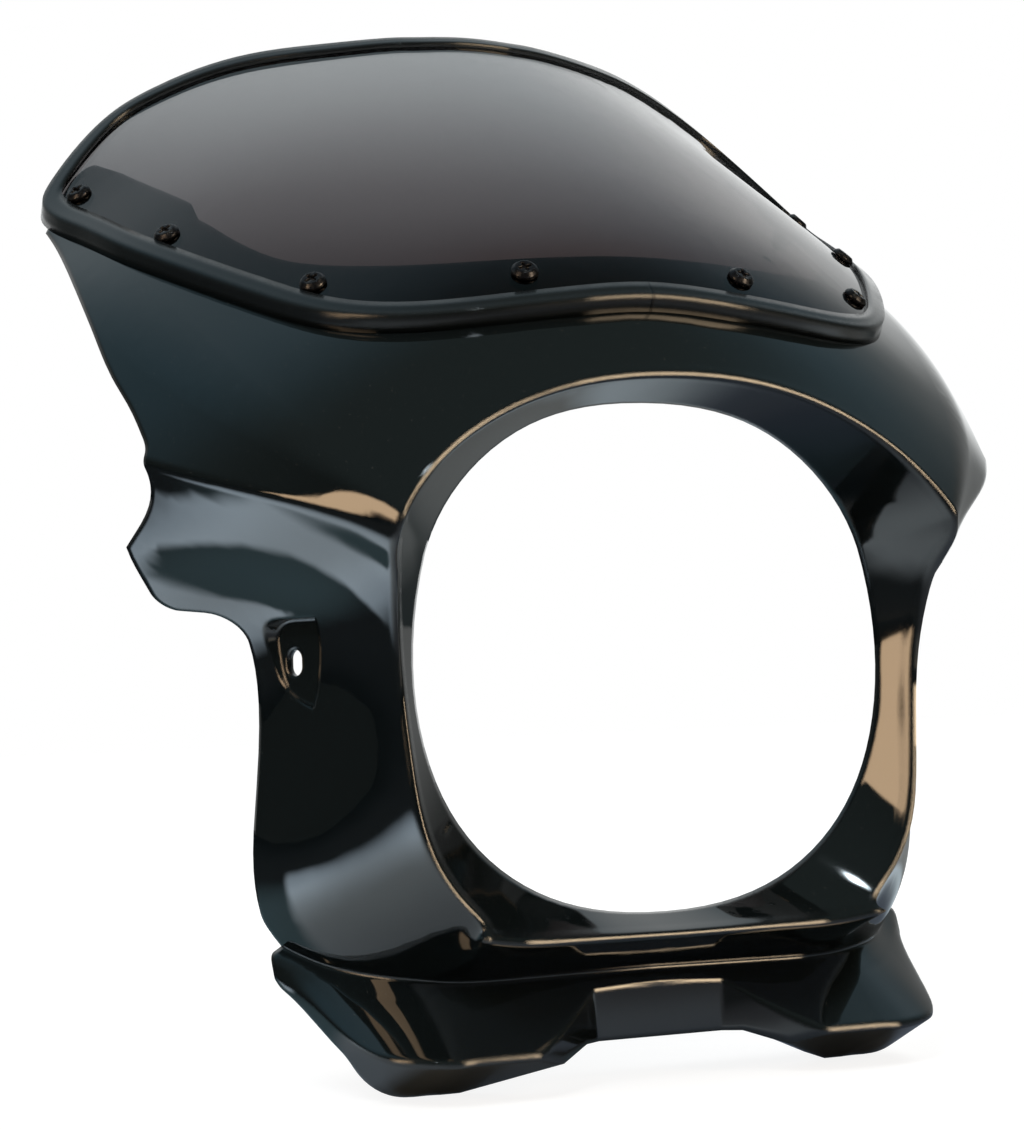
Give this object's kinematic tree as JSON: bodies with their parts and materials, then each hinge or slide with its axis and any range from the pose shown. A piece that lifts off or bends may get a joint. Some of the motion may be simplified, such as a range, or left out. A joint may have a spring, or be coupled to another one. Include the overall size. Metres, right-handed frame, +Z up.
{
  "type": "headlight cowl",
  "caption": "Moulded motorbike headlight cowl with a round lamp opening, swept side wings, a notched chin and a curved smoked screen edged with rubber trim.",
  "frame": {"origin": "centre of the headlamp opening, in the plane of its rear edge", "axes": "+X to the right seen from the front, +Y to the rear, +Z up"},
  "size_m": [0.3888, 0.2754, 0.4556],
  "materials": {
    "shell_plastic": "deep gloss black",
    "smoked_screen": "clear smoked",
    "trim_rubber": "satin",
    "screw_steel": "black zinc",
    "spacer_rubber": "matte",
    "washer_steel": "zinc plated",
    "nut_steel": "zinc plated"
  },
  "bodies": {
    "root": {"cowl_shell": "shell_plastic", "windscreen": "smoked_screen", "edge_trim": "trim_rubber", "screen_screws": "screw_steel", "screen_spacers": "spacer_rubber", "nut_washers": "washer_steel", "screen_nuts": "nut_steel"}
  },
  "joints": []
}
